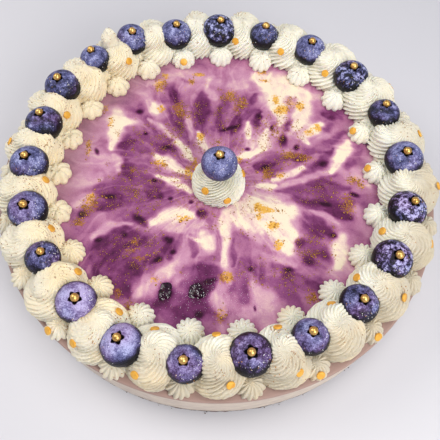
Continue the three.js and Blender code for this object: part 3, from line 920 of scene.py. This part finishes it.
# Berries, pearls and sequins
def berry_profile():
    """A berry's outline in shares of its radius and half height, ending in the floor of its crown."""
    latitudes = [math.radians(-84 + 6 * i) for i in range(25)]
    skin = [(math.cos(latitude), math.sin(latitude)) for latitude in latitudes]
    lip = [(0.37, 0.944), (0.325, 0.97), (0.29, 0.976), (0.265, 0.95)]
    floor = [(0.245, 0.9), (0.23, 0.84), (0.195, 0.81), (0.11, 0.8)]
    return [(0, -1), *skin, *lip, *floor, (0, 0.8)]


def star_wave(angle, points):
    """From -1 in a notch to 1 at the tip of a star's point."""
    share = angle * points / TURN
    return 4 * np.abs(share - np.floor(share + 0.5)) - 1


def berry_turn(index):
    """A berry is spun and tipped a little its own way, and the last one stands straight."""
    if index == BERRY_COUNT:
        return Matrix.Identity(3)
    tip = Matrix.Rotation(math.radians(BERRY_TILT * spread(index, 1)), 3, "X")
    lean = Matrix.Rotation(math.radians(BERRY_TILT * spread(index, 3)), 3, "Y")
    return tip @ lean @ Matrix.Rotation(index, 3, "Z")


def crown_edge(angle, seed):
    """How far the ragged star edge of a berry's crown stands out at each angle."""
    ring = np.c_[np.cos(angle), np.sin(angle), angle * 0]
    return star_wave(angle, CROWN_POINTS) * (1 + 0.5 * ripples(ring, 0.8, seed))


def bloom_and_shade_on(index, unit, lumps):
    """Bloom on a berry's skin, more toward its crown, and painted shade: darker below a line that is higher
    on the berries in front, where the skin is bare of bloom and shaded.
    """
    middle = BERRIES[index][0]
    bare = ripples(unit + index, 0.55, 40 + index)
    bloom = 0.56 + BLOOM_GRADES[BERRY_BLOOM[index]] + 0.14 * unit[:, 2] + 0.2 * bare
    # Below the line: bare skin and painted shade.
    bare_and_shaded_foot = CENTRE_BARE_AND_SHADED_FOOT if index == BERRY_COUNT else BARE_AND_SHADED_FOOT
    bare_and_shade_line = 0.1 + 0.25 * min(max(0.5 - 0.5 * middle.y / CAKE_RADIUS, 0), 1)
    return bloom - bare_and_shaded_foot * smooth_step(-0.4, 0.4, bare_and_shade_line - unit[:, 2] + 0.25 * lumps)


def make_berries(finish):
    shape = turned(berry_profile(), BERRY_COLUMNS)
    unit = points_of(shape)
    across = np.hypot(unit[:, 0], unit[:, 1])
    angle = np.arctan2(unit[:, 1], unit[:, 0])
    crown = (unit[:, 2] > 0.5) * (1 - smooth_step(0.38, 0.52, across))
    recess = (unit[:, 2] > 0.5) * (1 - smooth_step(0.26, 0.295, across))
    for i, (middle, radius, half) in enumerate(BERRIES):
        lumps = ripples(unit, 0.9, i)
        stretch = 1 + CROWN_SHARE * crown * crown_edge(angle, i)
        points = unit * np.c_[stretch, stretch, np.ones(len(unit))] * np.array((radius, radius, half))
        points *= (1 + 0.03 * lumps * (1 - crown))[:, None]
        points = points @ np.array(berry_turn(i)).T + np.array(middle)
        mesh = mesh_of(moved(shape, points))
        paint(mesh, "bloom", bloom_and_shade_on(i, unit, lumps) * (1 - recess) - recess)
        paint(mesh, "mottling", np.full(len(unit), MOTTLING[BERRY_BLOOM[i]]) * (1 - recess))
        warmth = ripples(unit - i, 1.1, 80 + i) + 0.3 * spread(i, 6) - 0.5 * middle.y / CAKE_RADIUS
        paint(mesh, "violet", smooth_step(-0.2, 0.8, warmth))
        finished("blueberry_" + BERRY_NAMES[i][6:], mesh, finish, "berry", BERRY_NAMES[i])
    shape.free()


def make_pearls(finish):
    shape = bmesh.new()
    bmesh.ops.create_uvsphere(shape, u_segments=PEARL_COLUMNS, v_segments=PEARL_ROWS, radius=PEARL_RADIUS)
    matrices = []
    for i, (middle, radius, half) in enumerate(BERRIES):
        turn = berry_turn(i)
        lift = half - CROWN_DEPTH + PEARL_HEIGHT - PEARL_RADIUS
        size = 1 + 0.05 * spread(i, 4)
        matrices.append(Matrix.Translation(middle + turn @ Vector((0, 0, lift))) @ Matrix.Scale(size, 4))
    finished("sugar_pearls", scattered(shape, matrices), finish, "gold_sugar", *BERRY_NAMES)


def dome_point(radius, height, rise, bluntness):
    slope = math.radians(rise)
    return radius * math.cos(slope) ** bluntness, height * math.sin(slope) ** bluntness


def sequin_matrix(foot, radius, height, angle, rise, draw, bluntness):
    """Where a sequin lies on a dome: flat on its surface, on the side that the angle gives."""
    across, up = dome_point(radius, height, rise, bluntness)
    next_across, next_up = dome_point(radius, height, rise + 1, bluntness)
    outward = Vector((next_up - up, 0, across - next_across)).normalized()
    turn = Matrix.Rotation(angle, 4, "Z")
    lie = Vector((0, 0, 1)).rotation_difference(outward).to_matrix().to_4x4()
    place = Vector((across, 0, up)) * draw + SEQUIN_LIFT * outward
    return Matrix.Translation(foot) @ turn @ Matrix.Translation(place) @ lie


def rosette_sequin(rosette, angle, rise):
    draw = float(swirl(rise, angle / TURN + 0.25, rosette.phase))
    matrix = sequin_matrix(Vector(), rosette.radius, ROSETTE_HEIGHT, angle, rise, draw, DOME_BLUNTNESS)
    matrix.translation = Vector(stretched(np.array([matrix.translation]), rosette)[0]) + rosette.axis
    return matrix


def sequin_places():
    places = []
    for i, rosette in enumerate(ROSETTES):
        for side in ("i", "o"):
            facing = rosette.outward + (0 if side == "o" else math.pi)
            if SEQUINS_ON_STARS[i] == side:
                star = star_place(i, side)
                places.append(sequin_matrix(star, STAR_RADIUS, STAR_HEIGHT, facing, SEQUIN_RISE, 0.92, 1))
            if SEQUINS_ON_ROSETTES[i] in (side, "b"):
                sway = math.radians(SEQUIN_SWAY * spread(i, 5 if side == "o" else 2))
                places.append(rosette_sequin(rosette, facing + sway, SEQUIN_RISE))
    for angle, rise in zip(CENTRE_SEQUIN_ANGLES, CENTRE_SEQUIN_RISES):
        places.append(rosette_sequin(CENTRE, math.radians(angle), rise))
    return places


def make_sequins(finish):
    shape = bmesh.new()
    bmesh.ops.create_cone(
        shape, cap_ends=True, segments=SEQUIN_COLUMNS, radius1=SEQUIN_RADIUS, radius2=SEQUIN_RADIUS,
        depth=2 * SEQUIN_PROUD,
    )
    edges = [edge for edge in shape.edges if any(len(face.verts) != 4 for face in edge.link_faces)]
    bmesh.ops.bevel(
        shape, geom=edges, offset=SEQUIN_ROUND, offset_type="OFFSET", affect="EDGES", segments=2,
        profile=0.5, material=-1,
    )
    nodes = [*ROSETTE_NAMES, "rosette_centre"]
    finished("sugar_sequins", scattered(shape, sequin_places()), finish, "gold_sugar", *nodes)


# Filling and crust
def stroke_shares(points, feather, stroke, softness):
    """How strongly a stroke's soft halo and its core cover each point of the plan, from 0 to 1."""
    x0, y0, x1, y1, bend, width = (value * MM for value in stroke)
    start = np.array((x0, y0))
    end = np.array((x1, y1))
    along = end - start
    side = np.array((-along[1], along[0])) / max(np.linalg.norm(along), 1e-9)
    share = np.clip(((points - start) @ along) / max(along @ along, 1e-12), 0, 1)
    line = start + share[:, None] * along + (4 * bend * share * (1 - share))[:, None] * side
    reach = width / 2 * (0.4 + 0.65 * np.sin(math.pi * np.clip(share, 0.06, 0.94)))
    distance = np.linalg.norm(points - line, axis=1) / reach + feather
    halo = 0.36 * (1 - smooth_step(0.6, 2.1, distance))
    return halo, 0.95 * (1 - smooth_step(0.9 - softness, 0.9 + softness, distance))


def marbling(points):
    """Tone of the marbled top at each point of the plan, and where the point lies on its drawn-out rays."""
    flat = np.c_[points[:, :2], np.zeros(len(points))]
    warp = np.c_[ripples(flat, 11 * MM, 1), ripples(flat, 11 * MM, 2)] * 2.2 * MM
    warp += np.c_[ripples(flat, 4 * MM, 3), ripples(flat, 4 * MM, 4)] * 0.9 * MM
    places = points[:, :2] + warp
    radius = np.hypot(places[:, 0], places[:, 1])
    angle = np.arctan2(places[:, 1], places[:, 0]) + 0.2 * ripples(flat, 30 * MM, 5)
    rays = np.c_[np.cos(angle) * 9, np.sin(angle) * 9, radius / (26 * MM)]
    feather = 0.18 * ripples(rays, 0.8, 7) + 0.1 * ripples(flat, 2.2 * MM, 8)
    tones = BASE_TONE + 0.12 * ripples(flat, 16 * MM, 6)
    for tone, strokes in STROKES:
        softness = SOFT_EDGE if tone > BASE_TONE else SHARP_EDGE
        for stroke in strokes:
            halo, core = stroke_shares(places, feather, stroke, softness)
            tones += halo * (tone - tones)
            tones += core * (tone - tones)
    return tones, rays


def spot_share(points, spot):
    """1 at the middle of a sunken berry, falling to 0 a little outside it."""
    x, y, length, breadth, turn = spot
    away = points[:, :2] - np.array((x, y)) * MM
    slope = math.radians(turn)
    across = np.c_[away @ (math.cos(slope), math.sin(slope)), away @ (-math.sin(slope), math.cos(slope))]
    distance = np.linalg.norm(across / (np.array((length, breadth)) * MM / 2), axis=1)
    return 1 - smooth_step(0.3, 1.5, distance)


def gold_grounds():
    """How pale the top is under each patch of gold, from 0 on purple to 1 on cream."""
    tones, _ = marbling(np.array([(x * MM, y * MM, CAKE_TOP) for x, y, *_ in GOLD_LEAF]))
    return smooth_step(0.6, 0.85, tones)


def gilding(points):
    """How much of the top's colour is gold at each point of the plan, from 0 to 1."""
    gold = np.zeros(len(points))
    for (x, y, width, depth), pale in zip(GOLD_LEAF, gold_grounds()):
        share = spot_share(points, (x, y, 1.8 * width, 1.8 * depth, 0))
        gold = np.maximum(gold, share * (0.8 + 0.2 * pale))
    return gold


def browning(points, radius):
    """How brown the filling is at each point: at the rim, and a little inside the ring on the left."""
    left = smooth_step(0.0, 0.6, -points[:, 0] / CAKE_RADIUS) * smooth_step(-35 * MM, 0, points[:, 1])
    browned = smooth_step(64 * MM, 84 * MM, radius) * left * 0.4
    return np.maximum(browned, smooth_step(100 * MM, 108 * MM, radius) * 0.95)


def filling_shape():
    """The filling's turned body, with a round rim and many rings across its top."""
    corner = [math.radians(90 * i / RIM_STEPS) for i in range(RIM_STEPS + 1)]
    bend = CAKE_RADIUS - RIM_ROUND
    rim = [(bend + RIM_ROUND * math.cos(a), CAKE_TOP - RIM_ROUND + RIM_ROUND * math.sin(a)) for a in corner]
    rise = rim[0][1] - CRUST_TOP
    wall = [(CAKE_RADIUS, CRUST_TOP + rise * i / WALL_ROWS) for i in range(WALL_ROWS)]
    top = [(bend * (1 - i / TOP_RINGS), CAKE_TOP) for i in range(1, TOP_RINGS)]
    return turned([(0, CRUST_TOP), *wall, *rim, *top, (0, CAKE_TOP)], TOP_COLUMNS)


def make_filling(finish):
    shape = filling_shape()
    points = points_of(shape)
    radius = np.hypot(points[:, 0], points[:, 1])
    on_top = points[:, 2] > CAKE_TOP - EDGE_TOLERANCE
    on_side = radius > CAKE_RADIUS - EDGE_TOLERANCE
    tones = np.full(len(points), LILAC)
    rays = np.zeros((len(points), 3))
    tones[on_top], rays[on_top] = marbling(points[on_top])
    hollow = np.zeros(len(points))
    for spot in SUNKEN_BERRIES:
        share = spot_share(points, spot) * on_top
        tones += share * 0.95 * (BLACK - tones)
        hollow = np.maximum(hollow, share)
    relief = 0.22 * ripples(points, 11 * MM, 8) + 0.1 * ripples(points, 4 * MM, 9)
    inside = 1 - smooth_step(CAKE_RADIUS - 8 * MM, CAKE_RADIUS - 2 * MM, radius)
    points[:, 2] += on_top * inside * (relief - 0.25 - 0.12 * hollow) * MM
    waves = ripples(points * np.array((1, 1, 0.3)), 9 * MM, 10)
    points[on_side, :2] *= (1 - 0.0012 * (1 + waves[on_side]))[:, None]
    mesh = mesh_of(moved(shape, points))
    shape.free()
    paint(mesh, "marbling", tones)
    paint(mesh, "rays", rays)
    paint(mesh, "gilding", gilding(points) * on_top)
    paint(mesh, "browned", browning(points, radius))
    paint(mesh, "side", 1 - smooth_step(CAKE_TOP - 1.4 * MM, CAKE_TOP - 0.5 * MM, points[:, 2]))
    finished("marbled_filling", mesh, finish, "filling", "filling")


def make_sunken_berries(finish):
    shapes = []
    lumps = [spot for spot in SUNKEN_BERRIES if min(spot[2:4]) > LUMP_BREADTH]
    for i, (x, y, length, breadth, turn) in enumerate(lumps):
        shape = bmesh.new()
        bmesh.ops.create_icosphere(shape, subdivisions=4, radius=1)
        points = points_of(shape)
        uneven = 1 + 0.42 * ripples(points, 0.7, i) + 0.06 * ripples(points, 0.3, i + 60)
        thick = min(length, breadth) * 0.7
        points = points * uneven[:, None] * np.array((length, breadth, thick)) * MM * LUMP_SHARE / 2
        points = points @ np.array(Matrix.Rotation(math.radians(turn), 3, "Z")).T
        points += np.array((x * MM, y * MM, CAKE_TOP - thick * MM * (0.5 - SUNKEN_PROUD)))
        shapes.append(moved(shape, points))
        shape.free()
    finished("sunken_berries", mesh_of(joined(shapes)), finish, "berry")


def make_crust(finish):
    wall = [(CAKE_RADIUS, CRUST_TOP * i / CRUST_ROWS) for i in range(CRUST_ROWS + 1)]
    shape = turned([(0, 0), *wall, (0, CRUST_TOP)], CRUST_COLUMNS)
    points = points_of(shape)
    edge = np.hypot(points[:, 0], points[:, 1]) > CAKE_RADIUS / 2
    crumbs = ripples(points, 1.4 * MM, 11) * 0.5 + ripples(points, 3.4 * MM, 12) * 0.5
    points[edge, :2] *= (1 - 0.004 + 0.004 * crumbs[edge])[:, None]
    mesh = mesh_of(moved(shape, points))
    shape.free()
    finished("biscuit_crust", mesh, finish, "crust", "crust_base")


# Scattered things
def random_turn():
    axis = Vector((random.gauss(0, 1), random.gauss(0, 1), random.gauss(0, 1))).normalized()
    return Quaternion(axis, random.uniform(0, TURN)).to_matrix().to_4x4()


def flake_shape(thickness):
    """A small flat flake of ten faces, one unit across."""
    shape = bmesh.new()
    bmesh.ops.create_uvsphere(shape, u_segments=5, v_segments=2, radius=0.5)
    bmesh.ops.scale(shape, vec=(1, 0.75, thickness), verts=shape.verts)
    return shape


def lying(x, y, z, size, tilt):
    """A flake of a size that lies nearly flat at a place."""
    spin = Matrix.Rotation(random.uniform(0, TURN), 4, "Z")
    lean = Matrix.Rotation(math.radians(random.gauss(0, tilt)), 4, "X")
    return Matrix.Translation((x, y, z)) @ spin @ lean @ Matrix.Scale(size, 4)


def grain(place, smallest, largest):
    """A grain between two sizes in mm, turned any way."""
    size = random.uniform(smallest, largest) * MM
    return Matrix.Translation(place) @ random_turn() @ Matrix.Scale(size, 4)


def leaf_flakes():
    """Flakes of the gold leaf, fewer on pale ground."""
    matrices = []
    for (x, y, width, depth), pale in zip(GOLD_LEAF, gold_grounds()):
        for _ in range(round((LEAF_DENSITY - PALE_LEAF_LOSS * pale) * width * depth)):
            place_x = (x + random.gauss(0, width / 2.2)) * MM
            place_y = (y + random.gauss(0, depth / 2.2)) * MM
            size = 0.35 * MM + random.expovariate(3.4) * MM
            lift = random.uniform(0, 0.25) * MM
            matrices.append(lying(place_x, place_y, FLAKE_FLOOR + lift, size, 40))
    return matrices


def dust_flakes():
    """Flakes of the gold dust, in clusters that end at the cream border."""
    matrices = []
    for x, y, width, depth in GOLD_DUST:
        for _ in range(round(DUST_DENSITY * width * depth)):
            cluster_x = x + random.gauss(0, width / 2.4)
            cluster_y = y + random.gauss(0, depth / 2.4)
            for _ in range(random.randint(1, LARGEST_DUST_CLUSTER)):
                place_x = (cluster_x + random.gauss(0, 1)) * MM
                place_y = (cluster_y + random.gauss(0, 1)) * MM
                if math.hypot(place_x, place_y) < DUST_REACH:
                    size = 0.3 * MM + random.expovariate(5.5) * MM
                    matrices.append(lying(place_x, place_y, FLAKE_FLOOR + 0.12 * MM, size, 35))
    return matrices


def make_gold_flakes(finish):
    matrices = leaf_flakes() + dust_flakes()
    matrices += on_berries(FLAKES_PER_BERRY, GOLD_SIDE, 0.35, 0.8)
    finished("gold_flakes", scattered(flake_shape(0.3), matrices), finish, "gold_sugar")


def on_berries(count, side, smallest, largest):
    """Flakes that stick to every berry, most of them on one side of its crown, of sizes in mm."""
    matrices = []
    for middle, radius, half in BERRIES:
        for _ in range(count):
            latitude = math.radians(random.triangular(-10, 64, 45))
            angle = side + random.gauss(0, 1)
            level = radius * math.cos(latitude)
            skin = Vector((level * math.cos(angle), level * math.sin(angle), half * math.sin(latitude)))
            matrices.append(grain(middle + skin, smallest, largest))
    return matrices


def trees_of(*prefixes):
    """A name and a search tree for each piece whose name starts in one of these ways."""
    trees = []
    for piece in bpy.context.scene.objects:
        if piece.name.startswith(prefixes):
            corners = [corner.co for corner in piece.data.vertices]
            faces = [face.vertices for face in piece.data.polygons]
            trees.append((piece.name, BVHTree.FromPolygons(corners, faces)))
    return trees


def dropped(trees, x, y):
    """The place where a grain that falls straight down meets a piece, and the piece's name, or None."""
    hits = [(tree.ray_cast(Vector((x, y, DROP_HEIGHT)), Vector((0, 0, -1))), name) for name, tree in trees]
    hits = [(hit[0], name) for hit, name in hits if hit[0]]
    return max(hits, key=lambda hit: hit[0].z) if hits else None


def make_sugar_and_highlight_glints(finish):
    # White flakes, partly painted highlights: on the berries, most on one side of each crown, and on the top
    # where the sparkles lie
    matrices = on_berries(GLINTS_PER_BERRY, HIGHLIGHT_SIDE, 0.2, 0.7)
    trees = trees_of("marbled_filling", "sunken_berries")
    for _ in range(TOP_GLINTS):
        x = SPARKLE_PLACE.x + random.gauss(0, 0.5) * SPARKLE_REACH.x
        y = SPARKLE_PLACE.y + random.gauss(0, 0.5) * SPARKLE_REACH.y
        place, name = dropped(trees, x, y)
        size = random.uniform(0.14, 0.3) if name == "marbled_filling" else random.uniform(0.3, 0.6)
        matrices.append(lying(*place, size * MM, 40))
    finished("sugar_glints", scattered(flake_shape(0.6), matrices), finish, "gold_sugar")


def cream_flecks():
    """Flecks in clusters on the piped cream, most of them on one side of the cake."""
    trees = trees_of("piped_", "blueberry_")
    matrices = []
    for _ in range(FLECK_CLUSTERS):
        angle = random.uniform(0, TURN)
        closeness = 0.5 + 0.5 * math.cos(angle - FLECKED_SIDE)
        if random.random() < 0.25 + 0.75 * closeness:
            reach = random.uniform(80, 110) * MM
            for _ in range(random.randint(3, 12)):
                x = reach * math.cos(angle) + random.gauss(0, 2.2) * MM
                y = reach * math.sin(angle) + random.gauss(0, 2.2) * MM
                hit = dropped(trees, x, y)
                if hit and hit[1].startswith("piped_"):
                    matrices.append(grain(hit[0], 0.35, 1.0))
    return matrices


def top_flecks():
    """Finer flecks all over the top."""
    matrices = []
    for _ in range(TOP_FLECKS):
        reach = TOP_FLECK_REACH * math.sqrt(random.random())
        angle = random.uniform(0, TURN)
        place = (reach * math.cos(angle), reach * math.sin(angle), TOP_FLECK_FLOOR)
        matrices.append(grain(place, 0.2, 0.5))
    return matrices


def make_flecks(finish):
    matrices = cream_flecks() + top_flecks()
    finished("spice_flecks", scattered(flake_shape(0.5), matrices), finish, "crust")


def make_crumbs(finish):
    matrices = []
    for _ in range(CRUMB_COUNT):
        angle = random.uniform(0, TURN)
        size = random.uniform(0.4, 1.0) * MM
        reach = CAKE_RADIUS + random.uniform(-0.2, 0.6) * MM
        place = (reach * math.cos(angle), reach * math.sin(angle), 0.5 * size)
        matrices.append(Matrix.Translation(place) @ random_turn() @ Matrix.Scale(size, 4))
    finished("crust_crumbs", scattered(flake_shape(0.6), matrices), finish, "crust")


# Floor, light and camera
def make_floor():
    shape = bmesh.new()
    bmesh.ops.create_grid(shape, x_segments=2, y_segments=2, size=FLOOR_REACH)
    finish = Finish("pale_floor", Specular_IOR_Level=0.2)
    clouds = finish.noise(0.4, 2)
    finish.colour(finish.ramp(clouds, [(0.3, (0.65, 0.64, 0.69)), (0.7, (0.69, 0.68, 0.72))]))
    finish.roughness(finish.math("MULTIPLY_ADD", clouds, 0.2, 0.6))
    finish.bump(finish.noise(3 * MM, 2), 0.02 * MM)
    mesh = mesh_of(shape)
    mesh.materials.append(finish.material)
    floor = bpy.data.objects.new("floor", mesh)
    bpy.context.scene.collection.objects.link(floor)


def soft_light(name, place, size, power, colour):
    light = bpy.data.lights.new(name, "AREA")
    light.shape = "DISK"
    light.size = size
    light.energy = power
    light.color = colour
    lamp = bpy.data.objects.new(name, light)
    lamp.location = place
    lamp.rotation_euler = (LIGHT_AIM - Vector(place)).to_track_quat("-Z", "Y").to_euler()
    bpy.context.scene.collection.objects.link(lamp)


def make_lights():
    world = bpy.data.worlds.new("studio")
    world.use_nodes = True
    background = world.node_tree.nodes["Background"]
    background.inputs["Color"].default_value = SKY_COLOUR
    background.inputs["Strength"].default_value = SKY_STRENGTH
    bpy.context.scene.world = world
    for name, (place, size, power, colour) in LIGHTS.items():
        soft_light(name, place, size, power, colour)
    bpy.context.scene.view_settings.view_transform = "Standard"


def make_camera():
    pitch = math.radians(CAMERA_PITCH)
    roll = math.radians(CAMERA_ROLL)
    forward = Vector((0, math.cos(pitch), -math.sin(pitch)))
    level_right = Vector((1, 0, 0))
    level_up = level_right.cross(forward)
    right = math.cos(roll) * level_right + math.sin(roll) * level_up
    up = math.cos(roll) * level_up - math.sin(roll) * level_right
    data = bpy.data.cameras.new("camera")
    data.sensor_width = SENSOR_WIDTH
    data.lens = SENSOR_WIDTH * LENS_PIXELS / FRAME_PIXELS
    data.clip_start = CLOSEST_SEEN
    camera = bpy.data.objects.new("camera", data)
    turn = Matrix((right, up, -forward)).transposed()
    camera.matrix_world = Matrix.Translation(CAMERA_AIM - forward * CAMERA_DISTANCE) @ turn.to_4x4()
    bpy.context.scene.collection.objects.link(camera)
    bpy.context.scene.camera = camera


make_camera()
make_lights()
make_floor()
crust = crust_finish()
make_crust(crust)
make_filling(filling_finish())
make_sunken_berries(sunken_finish())
make_rosettes(cream_finish())
make_berries(berry_finish())
make_pearls(pearl_finish())
make_sequins(sequin_finish())
make_gold_flakes(leaf_finish())
make_sugar_and_highlight_glints(sugar_and_highlight_finish())
make_flecks(fleck_finish())
make_crumbs(crust)
